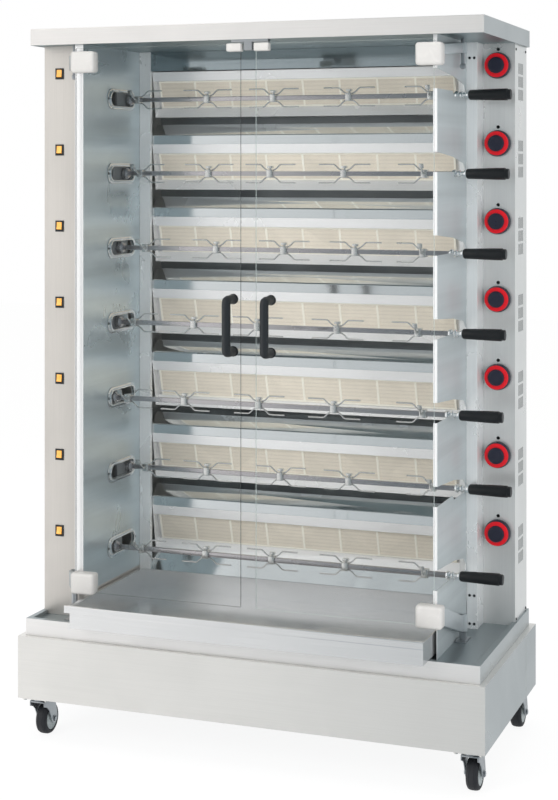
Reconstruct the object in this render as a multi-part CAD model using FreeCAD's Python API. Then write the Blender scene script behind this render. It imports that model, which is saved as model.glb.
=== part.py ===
"""Gas chicken rotisserie with seven spits, two glass doors and a drip drawer.

Millimetres, +Z up, front towards -Y. The origin is on the floor, under the
middle of the base cabinet.
"""
import FreeCAD
import Part
import math
import os

V = FreeCAD.Vector

# Rows, counted from the top
ROWS = 7
ROW_PITCH = 200.0
TOP_SPIT_Z = 1662.0

# Sheet steel and the running clearance of every shaft in its hole
SHEET = 2.0
RUNNING_FIT = 0.06

# Base cabinet and the plinth tray on it
BASE_HALF_WIDTH = 615.0
BASE_HALF_DEPTH = 288.0
BASE_BOTTOM = 110.0
BASE_TOP = 270.0
BASE_FLANGE = 95.0
BASE_SEAM_Y = 165.0
PLINTH_HALF_WIDTH = 600.0
PLINTH_HALF_DEPTH = 273.0
PLINTH_TOP = 313.0
PLINTH_FLOOR = 303.0
PLINTH_LIP = 14.0

# Canopy and its flat soffit
CANOPY_HALF_WIDTH = 602.0
CANOPY_FRONT = -245.0
CANOPY_BACK = 272.0
CANOPY_BOTTOM = 1795.0
CANOPY_TOP = 1838.0
SOFFIT = CANOPY_BOTTOM + SHEET

# Columns and the cavity between them
COLUMN_BACK = 270.0
LEFT_OUTER = -596.0
LEFT_FRONT = -180.0
LEFT_WALL = -459.0
LEFT_WALL_BOTTOM = 376.0
RIGHT_WALL = 483.5
RIGHT_COLUMN_LEFT = 500.0
RIGHT_OUTER = 594.0
RIGHT_FRONT = 130.0
WALL_FRONT = -225.0
RIGHT_WALL_BACK = 62.0
POST_FRONT_LEFT = 115.0
POST_FRONT_RIGHT = 64.0

# Burners: eight tiles in a row, leaning so that they face a little down
TILES = 8
TILE_PITCH = 105.0
TILE_ROW_LEFT = -410.0
TILE_TOP_ABOVE_SPIT = 55.0
TILE_BOTTOM_BELOW_SPIT = 18.0
TILE_TOP_Y = 143.0
TILE_BOTTOM_Y = 165.0
TILE_THICKNESS = 12.0
BURNER_LEFT = -426.0
BURNER_RIGHT = 452.0
BURNER_BACK = 235.0
HOUSING_TOP = 80.0
HOUSING_TOP_Y = 128.0
HOUSING_FOOT = 45.0
HOUSING_FOOT_Y = 150.0
SHELF_Y = 160.0
SHELF_BELOW_SPIT = 65.0

# Spits
BAR = 12.0
SPIT_BACK_Y = 46.0
REACH = 95.0
BAR_LEFT = -457.0
GRIP_LEFT = 495.0
GRIP_LENGTH = 108.0
GRIP_RADIUS = 15.0
FORK_REACH = 24.0
PRONG_RADIUS = 2.3
# How far forward of the back seat each spit rests, and where its forks are
# clamped: left end fork, three double forks, right end fork
SPIT_FORWARD = (0.0, 25.0, 56.0, 66.0, 94.0, 0.0, 91.0)
FORK_STATIONS = (
    (-430, -225, -35, 175, 395),
    (-410, -210, -35, 170, 385),
    (-380, -175, 15, 210, 390),
    (-410, -235, -55, 165, 380),
    (-415, -250, -40, 165, 400),
    (-405, -225, -15, 175, 400),
    (-375, -190, -5, 195, 405),
)

# Drive sockets in the left wall
SOCKET_LENGTH = 172.0
SOCKET_HEIGHT = 56.0
SOCKET_OPENING = 140.0
SOCKET_OPENING_HEIGHT = 36.0
HUB_RADIUS = 15.0
SHAFT_RADIUS = 8.0

# Knobs and switches, measured from the spit of their row
KNOB_X = 550.0
KNOB_ABOVE_SPIT = 78.0
KNOB_RADIUS = 34.0
KNOB_DEPTH = 32.0
STEM_RADIUS = 4.0
SIGHT_ABOVE_SPIT = 120.0
SIGHT_RADIUS = 4.5
SWITCH_X = -551.0
SWITCH_ABOVE_SPIT = 62.0
SWITCH_WIDTH = 23.0
SWITCH_HEIGHT = 29.0
BEZEL_RIM = 3.0
ROCKER_PIVOT_Y = -177.0
ROCKER_PIN_RADIUS = 1.5
ROCKER_TILT = 8.0

# Doors
GLASS = 6.0
GLASS_FRONT = -242.0
GLASS_BOTTOM = 386.0
GLASS_TOP = 1785.0
LEFT_LEAF = (-473.0, -15.0)
RIGHT_LEAF = (25.0, 480.0)
CLAMP_FRONT = -262.0
CLAMP_BACK = -226.0
CLAMP_HEIGHT = 55.0
CLAMP_WIDTH = 66.0
TOP_CLAMP_Z = 1721.0
BOTTOM_CLAMP_Z = 383.0
LEFT_PIVOT = (-497.0, -200.0)
RIGHT_PIVOT = (500.0, -41.0)
PIN_RADIUS = 5.0
HANDLE_X = (-34.0, 66.0)
HANDLE_Y = -290.0
HANDLE_BOTTOM = 1021.0
HANDLE_TOP = 1151.0
HANDLE_RADIUS = 11.5
CATCH_WIDTH = 39.0
CATCH_BOTTOM = 1766.0

# Drip tray
TRAY_LEFT = -447.0
TRAY_RIGHT = 476.0
TRAY_FRONT = -324.0
TRAY_BACK = 111.0
TRAY_BOTTOM = 314.5
TRAY_TOP = 370.0
TRAY_RIM = 18.0
RUNNER_TOP = 314.0
APRON_Y = 116.0
APRON_BOTTOM = 332.0

# Castors: 80 mm wheels
CASTOR_X = 572.0
CASTOR_Y = 240.0
CASTOR_TRAIL = 30.0
WHEEL_RADIUS = 40.0
WHEEL_WIDTH = 30.0
PLATE_THICKNESS = 4.0
KINGPIN_RADIUS = 6.0
AXLE_RADIUS = 5.0

# Gas supply
INLET_Z = 360.0
INLET_END_Y = 326.0
INLET_RADIUS = 10.5
MANIFOLD_Y = 215.0
FEED_Y = 190.0
FEED_ABOVE_SPIT = 16.0
FEED_RADIUS = 4.0


def row_z(row):
    return TOP_SPIT_Z - ROW_PITCH * row


def spit_y(row):
    return SPIT_BACK_Y - SPIT_FORWARD[row]


def box(x0, x1, y0, y1, z0, z1):
    return Part.makeBox(x1 - x0, y1 - y0, z1 - z0, V(x0, y0, z0))


def rod_x(x0, x1, y, z, radius):
    return Part.makeCylinder(radius, x1 - x0, V(x0, y, z), V(1, 0, 0))


def rod_y(y0, y1, x, z, radius):
    return Part.makeCylinder(radius, y1 - y0, V(x, y0, z), V(0, 1, 0))


def rod_z(z0, z1, x, y, radius):
    return Part.makeCylinder(radius, z1 - z0, V(x, y, z0), V(0, 0, 1))


def rod_between(start, end, radius):
    span = end.sub(start)
    return Part.makeCylinder(radius, span.Length, start, span)


def polygon_face(points):
    return Part.Face(Part.makePolygon(points + [points[0]]))


def prism_x(points_yz, x0, x1):
    return polygon_face([V(x0, y, z) for y, z in points_yz]).extrude(V(x1 - x0, 0, 0))


def prism_z(points_xy, z0, z1):
    return polygon_face([V(x, y, z0) for x, y in points_xy]).extrude(V(0, 0, z1 - z0))


def turned_x(profile, y, z):
    """Solid turned about an axis along X, from (x, radius) points."""
    points = [V(profile[0][0], y, z)]
    points += [V(x, y, z + radius) for x, radius in profile]
    points += [V(profile[-1][0], y, z)]
    return polygon_face(points).revolve(V(0, y, z), V(1, 0, 0), 360)


def turned_y(profile, x, z):
    """Solid turned about an axis along Y, from (y, radius) points."""
    points = [V(x, profile[0][0], z)]
    points += [V(x + radius, y, z) for y, radius in profile]
    points += [V(x, profile[-1][0], z)]
    return polygon_face(points).revolve(V(x, 0, z), V(0, 1, 0), 360)


def stadium(length, height, y, z, x0, x1):
    """Flat-sided slot shape, long along Y, pushed from x0 to x1."""
    half = (length - height) / 2
    middle = box(x0, x1, y - half, y + half, z - height / 2, z + height / 2)
    ends = [rod_x(x0, x1, y + side * half, z, height / 2) for side in (-1, 1)]
    return middle.fuse(ends).removeSplitter()


def fuse(shapes):
    return shapes[0].fuse(shapes[1:]).removeSplitter()


def cut(shape, tools):
    return shape.cut(Part.makeCompound(tools))


def round_edges(shape, radius, along=None):
    """Round the straight edges, all or only those along one axis."""
    edges = []
    for edge in shape.Edges:
        span = edge.Vertexes[-1].Point.sub(edge.Vertexes[0].Point)
        if along is None or abs(span.dot(along)) > 0.99 * span.Length > 0:
            edges.append(edge)
    return shape.makeFillet(radius, edges)


def folded_sheet(points, thickness, x0, x1):
    """Bent sheet along X: a (y, z) line given its thickness to the left."""
    normals = []
    for (y0, z0), (y1, z1) in zip(points, points[1:]):
        length = math.hypot(y1 - y0, z1 - z0)
        normals.append((-(z1 - z0) / length, (y1 - y0) / length))
    inner = []
    for index, (y, z) in enumerate(points):
        before = normals[max(index - 1, 0)]
        after = normals[min(index, len(normals) - 1)]
        scale = thickness / (1 + before[0] * after[0] + before[1] * after[1])
        inner.append((y + (before[0] + after[0]) * scale, z + (before[1] + after[1]) * scale))
    return prism_x(points + inner[::-1], x0, x1)


def base_cabinet():
    w, d = BASE_HALF_WIDTH, BASE_HALF_DEPTH
    shell = box(-w, w, -d, d, BASE_BOTTOM, BASE_TOP)
    inside = box(-w + SHEET, w - SHEET, -d + SHEET, d - SHEET, BASE_BOTTOM + SHEET, BASE_TOP - SHEET)
    mouth_x = w - BASE_FLANGE
    mouth_y = d - BASE_FLANGE
    mouth = box(-mouth_x, mouth_x, -mouth_y, mouth_y, BASE_BOTTOM - 1, BASE_BOTTOM + SHEET + 1)
    seams = [box(x - 0.8, x + 0.8, BASE_SEAM_Y - 0.8, BASE_SEAM_Y + 0.8, BASE_BOTTOM, BASE_TOP)
             for x in (-w, w)]
    shell = cut(shell, [inside, mouth] + seams)
    return [shell] + [castor_plate(x, y) for x, y in castor_places()]


def castor_places():
    return [(x, y) for y in (-CASTOR_Y, CASTOR_Y) for x in (-CASTOR_X, CASTOR_X)]


def castor_plate(x, y):
    """Bolted top plate of one castor, with its kingpin."""
    half = 40.0
    top = BASE_BOTTOM
    plate = box(x - half, x + half, y - half, y + half, top - PLATE_THICKNESS, top)
    plate = round_edges(plate, 8.0, V(0, 0, 1))
    pin = rod_z(top - 14.5, top - PLATE_THICKNESS, x, y, KINGPIN_RADIUS)
    head = rod_z(top - 18.0, top - 14.5, x, y, KINGPIN_RADIUS + 4)
    bolts = [rod_z(top - 8.0, top - PLATE_THICKNESS, x + sx * 31, y + sy * 31, 5.0)
             for sx in (-1, 1) for sy in (-1, 1)]
    return fuse([plate, pin, head] + bolts)


def plinth_tray():
    w, d = PLINTH_HALF_WIDTH, PLINTH_HALF_DEPTH
    body = box(-w, w, -d, d, BASE_TOP, PLINTH_TOP)
    well = box(-w + PLINTH_LIP, w - PLINTH_LIP, -d + PLINTH_LIP, d - PLINTH_LIP, PLINTH_FLOOR, PLINTH_TOP + 1)
    under = box(-w + SHEET, w - SHEET, -d + SHEET, d - SHEET, BASE_TOP - 1, PLINTH_FLOOR - SHEET)
    columns = [box(LEFT_OUTER, LEFT_WALL - SHEET, LEFT_FRONT, COLUMN_BACK, PLINTH_FLOOR, PLINTH_TOP + 1),
               box(RIGHT_COLUMN_LEFT, RIGHT_OUTER, RIGHT_FRONT, COLUMN_BACK, PLINTH_FLOOR, PLINTH_TOP + 1),
               box(LEFT_WALL - SHEET, RIGHT_COLUMN_LEFT, COLUMN_BACK - 14, COLUMN_BACK + 1,
                   PLINTH_FLOOR, PLINTH_TOP + 1)]
    runners = [box(x, x + 18, -250, 108, PLINTH_FLOOR - SHEET, RUNNER_TOP) for x in (-430, 440)]
    return fuse([cut(body, [well, under] + columns)] + runners)


def tube_column(x0, x1, y0, y1, openings):
    outer = box(x0, x1, y0, y1, PLINTH_FLOOR, SOFFIT)
    inner = box(x0 + SHEET, x1 - SHEET, y0 + SHEET, y1 - SHEET, PLINTH_FLOOR - 1, SOFFIT + 1)
    return cut(outer, [inner] + openings)


def socket_centre_y():
    return SPIT_BACK_Y - REACH / 2


def socket_opening(row, x0, x1):
    return stadium(SOCKET_OPENING, SOCKET_OPENING_HEIGHT, socket_centre_y(), row_z(row), x0, x1)


def left_column():
    right = LEFT_WALL - SHEET
    openings = []
    rails = []
    for row in range(ROWS):
        openings.append(socket_opening(row, right - 5, right + 1))
        z = row_z(row) + SWITCH_ABOVE_SPIT
        half_w = SWITCH_WIDTH / 2 - BEZEL_RIM + 0.5
        half_h = SWITCH_HEIGHT / 2 - BEZEL_RIM + 0.5
        openings.append(box(SWITCH_X - half_w, SWITCH_X + half_w, LEFT_FRONT - 1, LEFT_FRONT + 5,
                            z - half_h, z + half_h))
        for side in (-1, 1):
            rail_z = row_z(row) + side * 45
            rails.append(box(right - 14, right - SHEET, -110, 130, rail_z - 4, rail_z + 4))
    return fuse([tube_column(LEFT_OUTER, right, LEFT_FRONT, COLUMN_BACK, openings)] + rails)


def left_wall():
    """Cavity wall of the drive side, with its front flange and return."""
    x1 = LEFT_WALL
    x0 = x1 - SHEET
    wall = box(x0, x1, WALL_FRONT, POST_FRONT_LEFT, LEFT_WALL_BOTTOM, SOFFIT)
    flange = box(x0 - 22, x1, WALL_FRONT, WALL_FRONT + SHEET, LEFT_WALL_BOTTOM, SOFFIT)
    back_fold = box(x0 - 22, x0 - 20, WALL_FRONT, WALL_FRONT + 9, LEFT_WALL_BOTTOM, SOFFIT)
    openings = [socket_opening(row, x0 - 1, x1 + 1) for row in range(ROWS)]
    return cut(fuse([wall, flange, back_fold]), openings)


def slot_outline(row):
    """Open-fronted spit slot in the right wall, as (y, z) points."""
    z = row_z(row)
    back = SPIT_BACK_Y + 8
    seat = z - 7.6
    return [(WALL_FRONT - 5, z + 5), (-76, z + 5), (-63, seat), (back, seat), (back, z + 8),
            (back - 22, z + 27), (-65, z + 42), (WALL_FRONT - 5, z + 54)]


def right_wall():
    """Slotted cavity wall that the handle ends of the spits rest in."""
    x1 = RIGHT_WALL
    x0 = x1 - SHEET
    wall = box(x0, x1, WALL_FRONT, RIGHT_WALL_BACK, PLINTH_FLOOR, SOFFIT)
    flange = box(x0 - 8, x1, WALL_FRONT, WALL_FRONT + SHEET, TRAY_TOP + 12, SOFFIT)
    slots = [prism_x(slot_outline(row), x0 - 12, x1 + 1) for row in range(ROWS)]
    return cut(fuse([wall, flange]), slots)


def louvre_slots():
    """Three stacked rows of upright slots beside each knob."""
    slots = []
    for row in range(ROWS):
        for stack in range(3):
            top = row_z(row) + 86 - 34 * stack
            for slot in range(5):
                y = 172 + 12 * slot
                slots.append(box(RIGHT_OUTER - 5, RIGHT_OUTER + 1, y, y + 5, top - 28, top))
    return slots


def right_column():
    openings = louvre_slots()
    for row in range(ROWS):
        z = row_z(row)
        openings.append(rod_y(RIGHT_FRONT - 1, RIGHT_FRONT + 5, KNOB_X, z + KNOB_ABOVE_SPIT, STEM_RADIUS + 2))
        openings.append(rod_y(RIGHT_FRONT - 1, RIGHT_FRONT + 5, KNOB_X, z + SIGHT_ABOVE_SPIT, SIGHT_RADIUS))
        openings.append(rod_x(RIGHT_COLUMN_LEFT - 1, RIGHT_COLUMN_LEFT + 5, FEED_Y, z + FEED_ABOVE_SPIT,
                              FEED_RADIUS + 1))
    openings.append(rod_y(COLUMN_BACK - 5, COLUMN_BACK + 1, KNOB_X, INLET_Z, INLET_RADIUS + 1))
    return tube_column(RIGHT_COLUMN_LEFT, RIGHT_OUTER, RIGHT_FRONT, COLUMN_BACK, openings)


def corner_posts():
    """Channel posts: left of the burners, right of them, and by the gas column."""
    left = box(LEFT_WALL, LEFT_WALL + 33, POST_FRONT_LEFT, POST_FRONT_LEFT + 13, PLINTH_FLOOR, SOFFIT)
    inner = box(BURNER_RIGHT, RIGHT_WALL - SHEET, POST_FRONT_LEFT, POST_FRONT_LEFT + 13, PLINTH_FLOOR, SOFFIT)
    outline = [(RIGHT_WALL, POST_FRONT_RIGHT), (511, POST_FRONT_RIGHT), (511, RIGHT_FRONT),
               (509, RIGHT_FRONT), (509, POST_FRONT_RIGHT + SHEET), (RIGHT_WALL + SHEET, POST_FRONT_RIGHT + SHEET),
               (RIGHT_WALL + SHEET, RIGHT_FRONT), (RIGHT_WALL, RIGHT_FRONT)]
    right = prism_z(outline, PLINTH_FLOOR, SOFFIT)
    return [left, inner, right]


def back_panel():
    panel = box(LEFT_WALL - SHEET, RIGHT_COLUMN_LEFT, COLUMN_BACK - 4, COLUMN_BACK - 2, PLINTH_FLOOR, SOFFIT)
    ribs = [box(x - 12, x + 12, COLUMN_BACK - 2, COLUMN_BACK + 1, PLINTH_FLOOR + 40, SOFFIT - 40)
            for x in (-220, 20, 260)]
    return fuse([panel] + ribs)


def canopy():
    w = CANOPY_HALF_WIDTH
    outer = box(-w, w, CANOPY_FRONT, CANOPY_BACK, CANOPY_BOTTOM, CANOPY_TOP)
    outer = round_edges(outer, 1.5, V(1, 0, 0))
    inner = box(-w + SHEET, w - SHEET, CANOPY_FRONT + SHEET, CANOPY_BACK - SHEET,
                CANOPY_BOTTOM - 1, CANOPY_TOP - SHEET)
    soffit = box(-w + SHEET, w - SHEET, CANOPY_FRONT + SHEET, CANOPY_BACK - SHEET, SOFFIT, SOFFIT + SHEET)
    return [outer.cut(inner), soffit]


def reflectors():
    """Hood fascia, the polished shelf below each row, and the apron behind the tray."""
    lower_edge = row_z(0) + HOUSING_TOP + 2
    fascia = [(122, lower_edge), (118, lower_edge), (118, SOFFIT)]
    lines = [fascia]
    for row in range(ROWS - 1):
        shelf = row_z(row) - SHELF_BELOW_SPIT
        ledge = shelf - 31
        lines.append([(HOUSING_TOP_Y, row_z(row + 1) + HOUSING_TOP), (HOUSING_TOP_Y, ledge),
                      (HOUSING_TOP_Y + 3, ledge + 3), (SHELF_Y, shelf), (BURNER_BACK, shelf)])
    last = row_z(ROWS - 1) - HOUSING_FOOT - 1
    lines.append([(APRON_Y, APRON_BOTTOM), (APRON_Y, TRAY_TOP - 3), (HOUSING_FOOT_Y - 2, last),
                  (BURNER_BACK, last)])
    return [folded_sheet(line, -SHEET, BURNER_LEFT, BURNER_RIGHT) for line in lines]


def tile_face_y(above_spit):
    """Depth of the leaning tile face at a height above the spit axis."""
    down = (TILE_TOP_ABOVE_SPIT - above_spit) / (TILE_TOP_ABOVE_SPIT + TILE_BOTTOM_BELOW_SPIT)
    return TILE_TOP_Y + (TILE_BOTTOM_Y - TILE_TOP_Y) * down


def burner_housing(row):
    """Folded box with a leaning recess for the tiles of one row, and end plates."""
    z = row_z(row)
    top = TILE_TOP_ABOVE_SPIT
    bottom = -TILE_BOTTOM_BELOW_SPIT
    front = [(BURNER_BACK, z + HOUSING_TOP), (HOUSING_TOP_Y, z + HOUSING_TOP)]
    recess = [(HOUSING_TOP_Y + 2, z + top), (tile_face_y(top) + TILE_THICKNESS, z + top),
              (tile_face_y(bottom) + TILE_THICKNESS, z + bottom), (tile_face_y(bottom) + 2, z + bottom)]
    foot = [(HOUSING_FOOT_Y, z - HOUSING_FOOT), (BURNER_BACK, z - HOUSING_FOOT)]
    shell = folded_sheet(front + recess + foot, SHEET, BURNER_LEFT + SHEET, BURNER_RIGHT - SHEET)
    ends = [prism_x(front + foot, x, x + SHEET) for x in (BURNER_LEFT, BURNER_RIGHT - SHEET)]
    feed_hole = rod_x(BURNER_RIGHT - 5, BURNER_RIGHT + 1, FEED_Y, z + FEED_ABOVE_SPIT, FEED_RADIUS + 1)
    return fuse([shell] + ends).cut(feed_hole)


def burner_tiles():
    tiles = []
    top = TILE_TOP_ABOVE_SPIT - 0.5
    bottom = 0.5 - TILE_BOTTOM_BELOW_SPIT
    for row in range(ROWS):
        z = row_z(row)
        outline = [(tile_face_y(top), z + top), (tile_face_y(bottom), z + bottom),
                   (tile_face_y(bottom) + TILE_THICKNESS, z + bottom),
                   (tile_face_y(top) + TILE_THICKNESS, z + top)]
        for tile in range(TILES):
            x = TILE_ROW_LEFT + TILE_PITCH * tile
            tiles.append(prism_x(outline, x + 0.8, x + TILE_PITCH - 0.8))
    return tiles


def socket_bezels():
    bezels = []
    for row in range(ROWS):
        z = row_z(row)
        y = socket_centre_y()
        plate = stadium(SOCKET_LENGTH, SOCKET_HEIGHT, y, z, LEFT_WALL, LEFT_WALL + 3)
        ring = stadium(SOCKET_LENGTH - 20, SOCKET_HEIGHT - 12, y, z, LEFT_WALL + 3, LEFT_WALL + 7)
        hole = stadium(SOCKET_OPENING, SOCKET_OPENING_HEIGHT, y, z, LEFT_WALL - 1, LEFT_WALL + 8)
        bezels.append(fuse([plate, ring]).cut(hole))
    return bezels


def switch_housings():
    housings = []
    for row in range(ROWS):
        z = row_z(row) + SWITCH_ABOVE_SPIT
        half_w, half_h = SWITCH_WIDTH / 2, SWITCH_HEIGHT / 2
        rim = box(SWITCH_X - half_w, SWITCH_X + half_w, LEFT_FRONT - 3, LEFT_FRONT, z - half_h, z + half_h)
        body = box(SWITCH_X - half_w + BEZEL_RIM, SWITCH_X + half_w - BEZEL_RIM, LEFT_FRONT, LEFT_FRONT + 22,
                   z - half_h + BEZEL_RIM, z + half_h - BEZEL_RIM)
        well = box(SWITCH_X - half_w + 4, SWITCH_X + half_w - 4, LEFT_FRONT - 4, LEFT_FRONT + 12,
                   z - half_h + 4, z + half_h - 4)
        pivot = rod_x(SWITCH_X - 9, SWITCH_X + 9, ROCKER_PIVOT_Y, z, ROCKER_PIN_RADIUS + RUNNING_FIT)
        housings.append(cut(fuse([rim, body]), [well, pivot]))
    return housings


def rocker(row):
    """Lit switch rocker, pivoted at its middle and at rest with its top pressed in."""
    z = row_z(row) + SWITCH_ABOVE_SPIT
    half_w = SWITCH_WIDTH / 2 - 4.6
    half_h = SWITCH_HEIGHT / 2 - 5.2
    front = LEFT_FRONT - 5
    outline = [(front, z - half_h), (front + 0.9, z), (front, z + half_h), (LEFT_FRONT + 1, z + half_h),
               (LEFT_FRONT + 5, z), (LEFT_FRONT + 1, z - half_h)]
    lens = prism_x(outline, SWITCH_X - half_w, SWITCH_X + half_w)
    pivot = rod_x(SWITCH_X - 8.4, SWITCH_X + 8.4, ROCKER_PIVOT_Y, z, ROCKER_PIN_RADIUS)
    tipped = fuse([lens, pivot])
    tipped.rotate(V(SWITCH_X, ROCKER_PIVOT_Y, z), V(1, 0, 0), -ROCKER_TILT)
    return [tipped]


def knob(row):
    """Gas knob: dark skirt, raised ring and grip, bored for the valve stem."""
    z = row_z(row) + KNOB_ABOVE_SPIT
    back = RIGHT_FRONT - 1.5
    skirt = turned_y([(back, KNOB_RADIUS - 2), (back - 8, KNOB_RADIUS), (back - 15, KNOB_RADIUS - 3)],
                     KNOB_X, z)
    ring = turned_y([(back - 15, 30), (back - 17.5, 29)], KNOB_X, z)
    ring = ring.cut(rod_y(back - 20, back - 14, KNOB_X, z, 20))
    grip = turned_y([(back - 15, 19.5), (back - KNOB_DEPTH + 2, 17.5), (back - KNOB_DEPTH, 15.5)], KNOB_X, z)
    bore = rod_y(back - 22, back + 1, KNOB_X, z, STEM_RADIUS + RUNNING_FIT)
    return [skirt.cut(bore), ring, grip.cut(bore)]


def gas_manifold():
    """Riser pipe with a valve, stem and burner feed for each row, and the rear inlet."""
    x = KNOB_X
    riser = rod_z(INLET_Z - 12, row_z(0) + KNOB_ABOVE_SPIT + 18, x, MANIFOLD_Y, 11)
    riser = riser.cut(rod_z(INLET_Z, row_z(0) + KNOB_ABOVE_SPIT + 10, x, MANIFOLD_Y, 8.5))
    feeds = []
    for row in range(ROWS):
        z = row_z(row) + KNOB_ABOVE_SPIT
        body = box(x - 14, x + 14, 165, MANIFOLD_Y - 9, z - 13, z + 13)
        stem = rod_y(RIGHT_FRONT - 22, 165, x, z, STEM_RADIUS)
        elbow = V(x, FEED_Y, row_z(row) + FEED_ABOVE_SPIT)
        feeds += [body, stem, rod_between(V(x, FEED_Y, z - 10), elbow, FEED_RADIUS),
                  Part.makeSphere(FEED_RADIUS, elbow),
                  rod_x(BURNER_RIGHT - 12, x, elbow.y, elbow.z, FEED_RADIUS)]
    inlet = rod_y(MANIFOLD_Y + 9, INLET_END_Y, x, INLET_Z, INLET_RADIUS)
    inlet = inlet.cut(rod_y(MANIFOLD_Y, INLET_END_Y + 1, x, INLET_Z, 8))
    nut = hexagon_y(COLUMN_BACK, COLUMN_BACK + 14, x, INLET_Z, 16)
    nut = nut.cut(rod_y(COLUMN_BACK - 1, COLUMN_BACK + 15, x, INLET_Z, INLET_RADIUS - 1))
    return [fuse([riser, inlet, nut] + feeds)]


def hexagon_y(y0, y1, x, z, radius):
    points = []
    for corner in range(6):
        angle = math.radians(60 * corner)
        points.append(V(x + radius * math.cos(angle), y0, z + radius * math.sin(angle)))
    return polygon_face(points).extrude(V(0, y1 - y0, 0))


def drive_carriage(row):
    """Gear motor on its slide plate; it slides with the spit and turns it."""
    y, z = spit_y(row), row_z(row)
    right = LEFT_WALL - 2 * SHEET - 1.5
    plate = box(right - 6, right, y - 60, y + 60, z - 40.5, z + 40.5)
    gearbox = round_edges(box(right - 66, right - 6, y - 36, y + 36, z - 33, z + 33), 5.0, V(1, 0, 0))
    motor = rod_x(right - 120, right - 66, y, z, 27)
    cap = rod_x(right - 125, right - 120, y, z, 20)
    bore = rod_x(right - 46, right + 1, y, z, SHAFT_RADIUS + RUNNING_FIT)
    return [fuse([plate, gearbox, motor, cap]).cut(bore)]


def prong(side, up):
    """One bent tine, from the clamp block outward and then along the bar."""
    points = [V(side * 6, 0, up * 9), V(side * 12, 0, up * 10), V(side * 28, 0, up * FORK_REACH),
              V(side * 70, 0, up * FORK_REACH)]
    parts = []
    for start, end in zip(points, points[1:]):
        parts.append(rod_between(start, end, PRONG_RADIUS))
        parts.append(Part.makeSphere(PRONG_RADIUS, end))
    return parts


def fork(sides):
    """Clamp block with tines on the given sides, about the origin, bar along X."""
    half = 8.5
    block = round_edges(box(-half, half, -11, 11, -11, 11), 2.0, V(1, 0, 0))
    parts = [block]
    for side in sides:
        for up in (-1, 1):
            parts += prong(side, up)
    hole = BAR / 2
    blank = fuse(parts)
    return blank.cut(box(-half - 1, half + 1, -hole, hole, -hole, hole))


def square_screw():
    """Short screw with a square head, on top of a middle fork."""
    head = round_edges(box(-7.5, 7.5, -6, 6, 14, 20), 1.0, V(0, 0, 1))
    return fuse([rod_z(11, 15, 0, 0, 3), head])


def wing_screw(lean):
    """Clamp screw of an end fork: a cranked lever that ends in a flat paddle."""
    elbow = V(0, -22, 0)
    wrist = V(lean, -32, 16)
    paddle = box(lean - 6.5, lean + 6.5, -35, -31.5, 14, 27)
    paddle.rotate(wrist, V(1, 0, 0), 25)
    parts = [rod_between(V(0, -11, 0), elbow, 2.5), Part.makeSphere(2.5, elbow), rod_between(elbow, wrist, 2.2)]
    return fuse(parts + [paddle])


def spit(row):
    """Square bar with its drive hub, five forks, beaded ferrule and grip."""
    y, z = spit_y(row), row_z(row)
    half = BAR / 2
    bar = box(BAR_LEFT, 470, y - half, y + half, z - half, z + half)
    shaft_end = LEFT_WALL - 2 * SHEET
    hub = turned_x([(shaft_end - 40, SHAFT_RADIUS), (shaft_end, SHAFT_RADIUS), (shaft_end, HUB_RADIUS),
                    (LEFT_WALL + 8, HUB_RADIUS), (LEFT_WALL + 14, HUB_RADIUS - 4)], y, z)
    socket = half + 0.15
    hub = hub.cut(box(BAR_LEFT, LEFT_WALL + 15, y - socket, y + socket, z - socket, z + socket))
    ferrule = turned_x([(458, 7), (458, 10), (463, 11), (468, 10), (470, 7), (488, 7), (489, 10.5),
                        (492, 11), (GRIP_LEFT, 9)], y, z)
    ferrule = ferrule.cut(box(457, 470, y - half, y + half, z - half, z + half))
    end = GRIP_LEFT + GRIP_LENGTH
    grip = turned_x([(GRIP_LEFT, 11), (GRIP_LEFT + 4, 13), (GRIP_LEFT + 60, GRIP_RADIUS),
                     (end - 6, GRIP_RADIUS), (end, GRIP_RADIUS - 4)], y, z)
    pieces = [bar, hub, ferrule, grip]
    left_end = [fork((1,)), wing_screw(-9)]
    middle = [fork((-1, 1)), square_screw()]
    right_end = [fork((-1,)), wing_screw(0)]
    for x, fitted in zip(FORK_STATIONS[row], (left_end, middle, middle, middle, right_end)):
        for piece in fitted:
            pieces.append(piece.translated(V(x, y, z)))
    return pieces


def door_glass(leaf):
    x0, x1 = leaf
    return [round_edges(box(x0, x1, GLASS_FRONT, GLASS_FRONT + GLASS, GLASS_BOTTOM, GLASS_TOP), 1.5)]


def corner_clamp(x0, z0):
    """Rounded block that grips a corner of the glass."""
    block = box(x0, x0 + CLAMP_WIDTH, CLAMP_FRONT, CLAMP_BACK, z0, z0 + CLAMP_HEIGHT)
    return round_edges(block, 5.0)


def glass_slot(leaf):
    x0, x1 = leaf
    return box(x0, x1, GLASS_FRONT, GLASS_FRONT + GLASS, GLASS_BOTTOM, GLASS_TOP)


def catch_clamp(x0):
    block = box(x0, x0 + CATCH_WIDTH, GLASS_FRONT - 8, GLASS_FRONT + GLASS + 8, CATCH_BOTTOM, CATCH_BOTTOM + 20)
    return round_edges(block, 2.0)


def pivot_bore(pivot):
    return rod_z(PLINTH_FLOOR, SOFFIT, pivot[0], pivot[1], PIN_RADIUS + RUNNING_FIT)


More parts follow.
